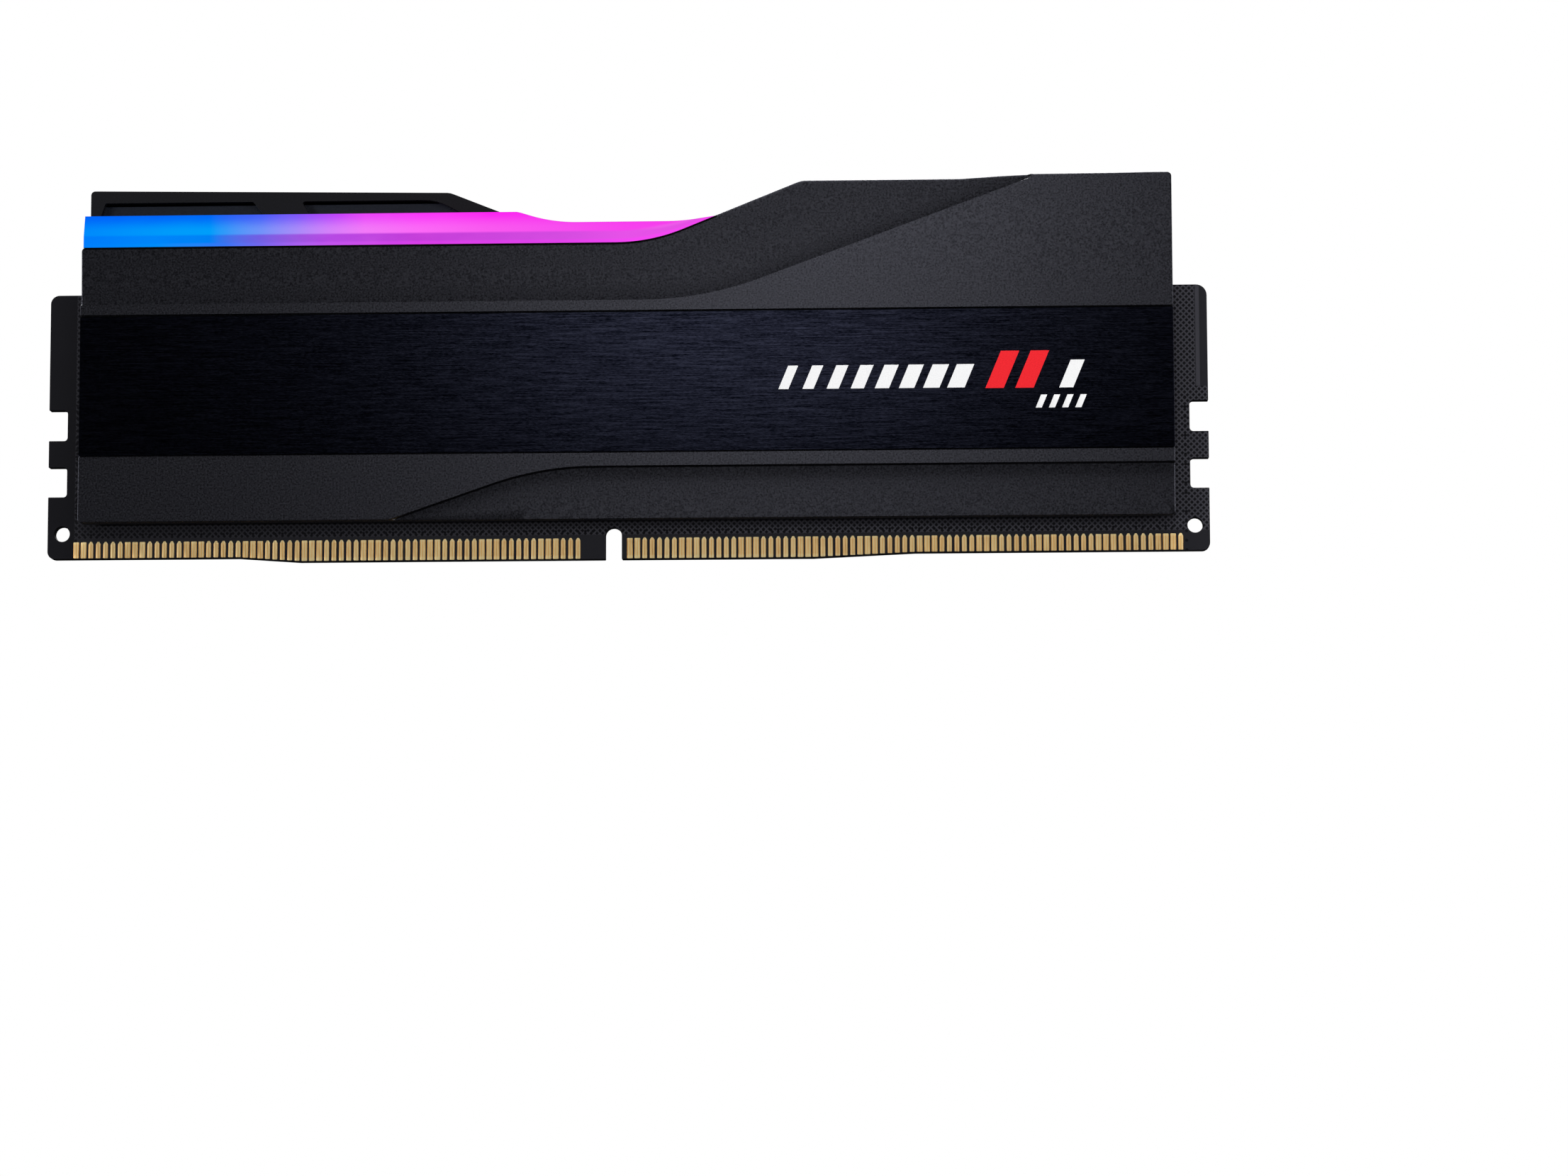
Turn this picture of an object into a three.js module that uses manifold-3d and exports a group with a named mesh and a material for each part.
// A desktop memory module: a circuit board with gold edge contacts, memory chips and lights, held between two
// identical aluminium heat spreaders that clamp a translucent light bar along the top.
// Millimetres. X runs along the module, -Y is its front, +Z is up from the contact edge. The origin is the
// middle of the contact edge. The rear spreader is the front one turned half a turn about Z.
import * as THREE from "three";
import { mergeVertices } from "three/addons/utils/BufferGeometryUtils.js";
import Module from "manifold-3d";

const wasm = await Module();
wasm.setup();

// ---- Driving dimensions ----
const HALF_TURN = Math.PI;
const QUARTER_TURN = Math.PI / 2;
const PAST = 2; // how far a cutter runs past the face that it opens

const BOARD = { half: 66.675, top: 31.25, thick: 1.27, corner: 1 };
const BOARD_FACE = BOARD.thick / 2;
const EDGE = { step: 0.5, leftRamp: [-44.5, -37.5], rightRamp: [21.5, 33] }; // lowest in the middle
const NOTCHES = [[7.7, 11.15], [14.25, 17.8]]; // heights of the latch notches in each end
const NOTCH = { depth: 2.15, corner: 0.4 };
const KEY = { x: -1.45, half: 0.94, top: 3.65 };
const CORNER_HOLE = { x: 65, z: 3.42, r: 0.88 };

const PADS = { pitch: 0.85, width: 0.6, thick: 0.05, top: 2.4, inset: 0.22, strip: 0.25 };
const PAD_ROWS = [
  { name: "short", first: -63.325, count: 69 },
  { name: "long", first: 0.425, count: 75 },
];

// Sizes of the soldered parts are [width, height, thickness], and their places are [x, z] of the middle.
const MEMORY = { size: [9.9, 11, 1], x: [16.4, 29.2, 42, 54.8], z: 14.9 }; // both sides of the power parts
const POWER = { size: [5, 5, 0.8], place: [0, 18.2] };
const IDENTITY = { size: [3, 2, 0.6], place: [7, 12.2] };
const LIGHT_DRIVER = { size: [3, 3, 0.75], place: [-6.9, 12.2] };
const INDUCTOR = { size: [2.5, 2, 1.2], places: [[-4.4, 24.2], [0, 24.2], [4.4, 24.2]] };
const CAPACITOR = {
  size: [2, 1.25, 0.9],
  places: [[-6.6, 17.2], [-6.6, 19.4], [6.6, 17.2], [6.6, 19.4], [-1.7, 13.2], [1.7, 13.2]],
};
const LIGHT = { size: [3.2, 1.5, 1], z: 30.2, pitch: 15, count: 8 };
const PAD_MARGIN = 0.4; // a thermal pad reaches this far past what it cools
const REAR_PAD = { half: 60, low: 7, high: 27.5 };

const SHELL = { inner: 2, outer: 4, half: 62.65, bottom: 4.3, corner: 0.4 };
const LOW_RIM = { z: 36.3, x: 3 }; // the shell's top edge beside the light bar, and where it starts to climb
const HIGH_RIM = { z: 43.4, x: 20.7 };
const CREST = { z: 43.7, from: 35, to: 46.5 }; // the wedge's end of the top edge is a little higher
const RIM_RADII = { low: 21, high: 2 };
const BAND = { face: 3.1, lean: 0.03 }; // a sunken band is deepest along its fold and leans out from there
const UPPER_FOLD = { z: 29.5, x: 9.1, slope: 0.3662, radius: 39 }; // between the wedge and the upper band
const LOWER_FOLD = { z: 10.35, x: -9.5, slope: 0.343, radius: 36 };
const CHANNEL = { low: 11.85, high: 28.3, face: 3.35 }; // full-length seat of the brushed plate
const POCKET = { low: 40.4, high: 42.65, deep: 0.7, corner: 0.35, lean: 1.2 };

const TRIM = { thick: 0.4, gap: 0.05, tape: 0.1, tapeInset: 1 };
const BAR = { half: 62.5, low: 31.7, high: 40.2, valley: 38.85, inner: 1.85, outer: 3.2, rimGap: 0.2 };
const BAR_SLOPE = { z: 37.7, y: 2.4 }; // the lit face leans back from this height to this depth at its top
// Corners of the front half's top edge, from right to left: it dips where the front shell starts to climb.
const BAR_DIP = [
  [15, BAR.high, 2],
  [6.5, BAR.valley, 20],
  [-8.3, BAR.valley, 17],
  [-12.4, BAR.high, 1],
];
const BAR_TAPE = { half: 60, low: 32.3, high: 35.7 };
const LABEL = { width: 44, height: 12.5, thick: 0.08, x: 24 };

// ---- Materials ----
function plain(color, roughness, metalness) {
  return new THREE.MeshStandardMaterial({ color, roughness, metalness });
}

const boardMask = plain(0x111114, 0.45, 0);
const gold = plain(0xd9aa62, 0.3, 1);
const epoxy = plain(0x1c1c1e, 0.6, 0);
const coat = plain(0x2b2c31, 0.55, 0.6);
const brushed = plain(0x0b0c14, 0.35, 0.9);
const diffuser = plain(0xf2f4ff, 0.35, 0);
const padRubber = plain(0x7f8790, 0.8, 0);
const tape = plain(0x303030, 0.9, 0);
const ceramic = plain(0x9a7a58, 0.5, 0);
const ferrite = plain(0x4a4a4c, 0.6, 0);
const lens = plain(0xf6f6ee, 0.3, 0);
const paper = plain(0xd8d8da, 0.5, 0);

const module = new THREE.Group();
const shells = { front: new THREE.Group(), rear: new THREE.Group() };
shells.rear.rotation.z = HALF_TURN;
module.add(shells.front, shells.rear);

function addPart(name, geometry, material, group = module) {
  const mesh = new THREE.Mesh(geometry, material);
  mesh.name = name;
  group.add(mesh);
  return mesh;
}

// ---- Shape helpers ----
const point = (x, y) => new THREE.Vector2(x, y);

// A closed outline through the corners [x, z, radius], each corner rounded by its radius.
function rounded(corners) {
  const shape = new THREE.Shape();
  corners.forEach(([x, z, radius = 0], i) => {
    const corner = point(x, z);
    const before = point(...corners[(i + corners.length - 1) % corners.length]).sub(corner).normalize();
    const after = point(...corners[(i + 1) % corners.length]).sub(corner).normalize();
    const half = Math.acos(THREE.MathUtils.clamp(before.dot(after), -1, 1)) / 2;
    const tangent = radius / Math.tan(half);
    const start = before.clone().multiplyScalar(tangent).add(corner);
    if (i === 0) shape.moveTo(start.x, start.y);
    else shape.lineTo(start.x, start.y);
    if (!radius) return;
    const end = after.clone().multiplyScalar(tangent).add(corner);
    const centre = before.clone().add(after).setLength(radius / Math.sin(half)).add(corner);
    const from = start.sub(centre).angle();
    const to = end.sub(centre).angle();
    shape.absarc(centre.x, centre.y, radius, from, to, before.cross(after) > 0);
  });
  return shape;
}

// The outline in X and Z, thickened from y = back to y = front, where front is the smaller of the two.
function slab(shape, back, front, curveSegments = 6) {
  return new THREE.ExtrudeGeometry(shape, { depth: back - front, bevelEnabled: false, curveSegments })
    .rotateX(QUARTER_TURN)
    .translate(0, back, 0);
}

function block([x0, x1], [y0, y1], [z0, z1]) {
  return new THREE.BoxGeometry(x1 - x0, y1 - y0, z1 - z0)
    .translate((x0 + x1) / 2, (y0 + y1) / 2, (z0 + z1) / 2);
}

// A solid for joining and cutting, and the geometry of the result.
function solid(geometry) {
  const bare = new THREE.BufferGeometry().setAttribute("position", geometry.getAttribute("position"));
  if (geometry.index) bare.setIndex(geometry.index);
  const merged = mergeVertices(bare, 1e-4);
  const mesh = new wasm.Mesh({
    numProp: 3,
    vertProperties: merged.attributes.position.array,
    triVerts: new Uint32Array(merged.index.array),
  });
  return new wasm.Manifold(mesh);
}

function geometryOf(manifold) {
  const mesh = manifold.getMesh();
  const positions = new THREE.BufferAttribute(mesh.vertProperties, mesh.numProp);
  return new THREE.BufferGeometry().setAttribute("position", positions)
    .setIndex(new THREE.BufferAttribute(mesh.triVerts, 1));
}

// ---- Circuit board ----
// The height of the contact edge at x: lowest in the middle, with a ramp up to each end.
function edgeHeight(x) {
  const { step, leftRamp, rightRamp } = EDGE;
  if (x < leftRamp[1]) return step * Math.min(1, (leftRamp[1] - x) / (leftRamp[1] - leftRamp[0]));
  if (x > rightRamp[0]) return step * Math.min(1, (x - rightRamp[0]) / (rightRamp[1] - rightRamp[0]));
  return 0;
}

function boardOutline() {
  const { half, top, corner } = BOARD;
  const end = (side) => [
    [side * half, EDGE.step, corner],
    ...NOTCHES.flatMap(([low, high]) => [
      [side * half, low],
      [side * (half - NOTCH.depth), low, NOTCH.corner],
      [side * (half - NOTCH.depth), high, NOTCH.corner],
      [side * half, high],
    ]),
    [side * half, top, corner],
  ];
  const contactEdge = [
    [EDGE.leftRamp[0], EDGE.step],
    [EDGE.leftRamp[1], 0],
    [KEY.x - KEY.half, 0],
    [KEY.x - KEY.half, KEY.top, KEY.half * 0.9],
    [KEY.x + KEY.half, KEY.top, KEY.half * 0.9],
    [KEY.x + KEY.half, 0],
    [EDGE.rightRamp[0], 0],
    [EDGE.rightRamp[1], EDGE.step],
  ];
  const shape = rounded([...contactEdge, ...end(1), ...end(-1).reverse()]);
  for (const side of [-1, 1]) {
    const hole = new THREE.Path();
    hole.absarc(side * CORNER_HOLE.x, CORNER_HOLE.z, CORNER_HOLE.r, 0, 2 * HALF_TURN, true);
    shape.holes.push(hole);
  }
  return shape;
}

// One row of contacts: fingers joined along their top by the strip that feeds them.
function contactOutline({ first, count }) {
  const { pitch, width, top, inset, strip } = PADS;
  const last = first + pitch * (count - 1);
  const corners = [[first - width / 2, top + strip]];
  for (let i = 0; i < count; i++) {
    const middle = first + pitch * i;
    const low = edgeHeight(middle) + inset;
    if (i) corners.push([middle - width / 2, top]);
    corners.push([middle - width / 2, low], [middle + width / 2, low]);
    if (i < count - 1) corners.push([middle + width / 2, top]);
  }
  corners.push([last + width / 2, top + strip]);
  return rounded(corners);
}

function addBoard() {
  addPart("circuit_board", slab(boardOutline(), BOARD_FACE, -BOARD_FACE, 5), boardMask);
  for (const row of PAD_ROWS) {
    const outline = contactOutline(row);
    const front = slab(outline, -BOARD_FACE, -BOARD_FACE - PADS.thick);
    const rear = slab(outline, BOARD_FACE + PADS.thick, BOARD_FACE);
    addPart(`front_contacts_${row.name}`, front, gold);
    addPart(`rear_contacts_${row.name}`, rear, gold);
  }
}

// ---- Parts soldered to the board's front face ----
function mountOnFront(name, [x, z], [width, height, thick], material) {
  const y = [-BOARD_FACE - thick, -BOARD_FACE];
  return addPart(name, block([x - width / 2, x + width / 2], y, [z - height / 2, z + height / 2]), material);
}

function addElectronics() {
  const memoryPlaces = [...MEMORY.x.map((x) => -x).reverse(), ...MEMORY.x];
  memoryPlaces.forEach((x, i) => mountOnFront(`memory_chip_${i + 1}`, [x, MEMORY.z], MEMORY.size, epoxy));
  mountOnFront("power_controller", POWER.place, POWER.size, epoxy);
  mountOnFront("identity_chip", IDENTITY.place, IDENTITY.size, epoxy);
  mountOnFront("light_controller", LIGHT_DRIVER.place, LIGHT_DRIVER.size, epoxy);
  INDUCTOR.places.forEach((place, i) => mountOnFront(`inductor_${i + 1}`, place, INDUCTOR.size, ferrite));
  CAPACITOR.places.forEach((place, i) => mountOnFront(`capacitor_${i + 1}`, place, CAPACITOR.size, ceramic));
  for (let i = 0; i < LIGHT.count; i++) {
    const x = LIGHT.pitch * (i - (LIGHT.count - 1) / 2);
    mountOnFront(`light_${i + 1}`, [x, LIGHT.z], LIGHT.size, lens);
  }
}

// ---- Thermal pads between the electronics and the shells ----
// A pad on parts of one size whose middles span the places xs, from their tops to the front shell.
function padOver(name, xs, z, [width, height, thick]) {
  const reach = width / 2 + PAD_MARGIN;
  const rise = height / 2 + PAD_MARGIN;
  const y = [-SHELL.inner, -BOARD_FACE - thick];
  addPart(name, block([xs[0] - reach, xs[1] + reach], y, [z - rise, z + rise]), padRubber);
}

function addThermalPads() {
  const near = MEMORY.x[0];
  const far = MEMORY.x.at(-1);
  padOver("thermal_pad_left", [-far, -near], MEMORY.z, MEMORY.size);
  padOver("thermal_pad_right", [near, far], MEMORY.z, MEMORY.size);
  padOver("thermal_pad_power", [POWER.place[0], POWER.place[0]], POWER.place[1], POWER.size);
  const { half, low, high } = REAR_PAD;
  addPart("thermal_pad_rear", block([-half, half], [BOARD_FACE, SHELL.inner], [low, high]), padRubber);
}

// ---- Heat spreader shells ----
// The shell's top edge from right to left, high behind the wedge and low beside the light bar.
const SHELL_RIM = [
  [SHELL.half, CREST.z, SHELL.corner],
  [CREST.to, CREST.z],
  [CREST.from, HIGH_RIM.z],
  [HIGH_RIM.x, HIGH_RIM.z, RIM_RADII.high],
  [LOW_RIM.x, LOW_RIM.z, RIM_RADII.low],
];

function shellOutline() {
  return rounded([
    [-SHELL.half, SHELL.bottom, SHELL.corner],
    [SHELL.half, SHELL.bottom, SHELL.corner],
    ...SHELL_RIM,
    [-SHELL.half, LOW_RIM.z, SHELL.corner],
  ]);
}

// The bands are drawn past the shell's own edges, so that the shell's outline bounds them.
function upperBand() {
  const { z, x, slope, radius } = UPPER_FOLD;
  const high = CREST.z + PAST;
  const left = -SHELL.half - PAST;
  return rounded([[left, z], [x, z, radius], [x + (high - z) / slope, high], [left, high]]);
}

function lowerBand() {
  const { z, x, slope, radius } = LOWER_FOLD;
  const low = SHELL.bottom - PAST;
  const right = SHELL.half + PAST;
  return rounded([[x - (z - low) / slope, low], [right, low], [right, z], [x, z, radius]]);
}

// Shallow pockets in the inside of the high end, seen over the light bar.
function pockets() {
  const { low, high, corner, lean } = POCKET;
  return [
    rounded([[43.5 - lean, low], [61.3, low], [61.3, high, corner], [43.5, high, corner]]),
    rounded([[18.2, low], [37.3, low], [38, high, corner], [22.4, high, corner * 4]]),
  ];
}

// What a band takes away: its outline thickened outwards and leaned about its fold.
function bandCutter(shape, foldHeight, lean) {
  const cutter = slab(shape, 0, -SHELL.outer, 14).translate(0, 0, -foldHeight);
  return solid(cutter.rotateX(lean).translate(0, -BAND.face, foldHeight));
}

function shellGeometry() {
  const front = -SHELL.outer - PAST;
  let shell = solid(slab(shellOutline(), -SHELL.inner, -SHELL.outer, 10));
  shell = shell.subtract(bandCutter(upperBand(), UPPER_FOLD.z, BAND.lean));
  shell = shell.subtract(bandCutter(lowerBand(), LOWER_FOLD.z, -BAND.lean));
  const wide = SHELL.half + PAST;
  shell = shell.subtract(solid(block([-wide, wide], [front, -CHANNEL.face], [CHANNEL.low, CHANNEL.high])));
  for (const pocket of pockets()) {
    shell = shell.subtract(solid(slab(pocket, -SHELL.inner + PAST, -SHELL.inner - POCKET.deep, 3)));
  }
  return geometryOf(shell);
}

function addShells() {
  const geometry = shellGeometry();
  const height = [CHANNEL.low + TRIM.gap, CHANNEL.high - TRIM.gap];
  const tapeFace = CHANNEL.face + TRIM.tape;
  const plate = block([-SHELL.half, SHELL.half], [-tapeFace - TRIM.thick, -tapeFace], height);
  const tapeHalf = SHELL.half - TRIM.tapeInset;
  const tapeHeight = [height[0] + TRIM.tapeInset, height[1] - TRIM.tapeInset];
  const plateTape = block([-tapeHalf, tapeHalf], [-tapeFace, -CHANNEL.face], tapeHeight);
  const barTape = block(
    [-BAR_TAPE.half, BAR_TAPE.half],
    [-SHELL.inner, -BAR.inner],
    [BAR_TAPE.low, BAR_TAPE.high],
  );
  for (const [side, group] of Object.entries(shells)) {
    addPart(`${side}_heat_spreader`, geometry, coat, group);
    addPart(`${side}_trim_plate`, plate, brushed, group);
    addPart(`${side}_trim_tape`, plateTape, tape, group);
    addPart(`${side}_bar_tape`, barTape, tape, group);
  }
  const middle = (CHANNEL.low + CHANNEL.high) / 2;
  const labelBack = tapeFace + TRIM.thick;
  const label = block(
    [LABEL.x - LABEL.width / 2, LABEL.x + LABEL.width / 2],
    [-labelBack - LABEL.thick, -labelBack],
    [middle - LABEL.height / 2, middle + LABEL.height / 2],
  );
  addPart("rear_label", label, paper, shells.rear);
}

// ---- Light bar ----
// The core of the bar's front half.
function barCore() {
  const { half, low, high } = BAR;
  return rounded([[-half, low], [half, low], [half, high], ...BAR_DIP, [-half, high]]);
}

// The part of the bar that stands out over the front shell's low edge, between that edge and the bar's top.
function barLip() {
  const { half, high, rimGap } = BAR;
  const low = LOW_RIM.z + rimGap;
  const climb = (HIGH_RIM.z - LOW_RIM.z) / (HIGH_RIM.x - LOW_RIM.x);
  const [headRight, footRight, footLeft, headLeft] = BAR_DIP;
  const rise = (headRight[1] - footRight[1]) / (headRight[0] - footRight[0]);
  // The shell's rising edge overtakes the bar's top edge here.
  const x = (footRight[1] - low + climb * LOW_RIM.x - rise * footRight[0]) / (climb - rise);
  const meets = [x, low + climb * (x - LOW_RIM.x)];
  return rounded([
    [-half, low],
    [LOW_RIM.x, low, RIM_RADII.low],
    meets,
    footRight,
    footLeft,
    headLeft,
    [-half, high],
  ]);
}

function addLightBar() {
  const core = solid(slab(barCore(), 0, -BAR.inner, 8));
  // The lit face leans back: a wedge along X is cut from the lip's upper front edge.
  const run = BAR.high - BAR_SLOPE.z;
  const lean = (BAR.outer - BAR_SLOPE.y) / run;
  const wedge = new THREE.Shape([
    point(-BAR.outer, BAR_SLOPE.z),
    point(-BAR.outer + lean * (run + PAST), BAR.high + PAST),
    point(-BAR.outer - PAST, BAR.high + PAST),
    point(-BAR.outer - PAST, BAR_SLOPE.z),
  ]);
  const length = 2 * (BAR.half + PAST);
  const cutter = new THREE.ExtrudeGeometry(wedge, { depth: length, bevelEnabled: false })
    .rotateX(QUARTER_TURN)
    .rotateZ(QUARTER_TURN)
    .translate(-length / 2, 0, 0);
  const lip = solid(slab(barLip(), -BAR.inner + BAR.rimGap, -BAR.outer, 8)).subtract(solid(cutter));
  const frontHalf = core.add(lip);
  addPart("light_bar", geometryOf(frontHalf.add(frontHalf.rotate([0, 0, 180]))), diffuser);
}

addBoard();
addElectronics();
addThermalPads();
addShells();
addLightBar();

export default module;
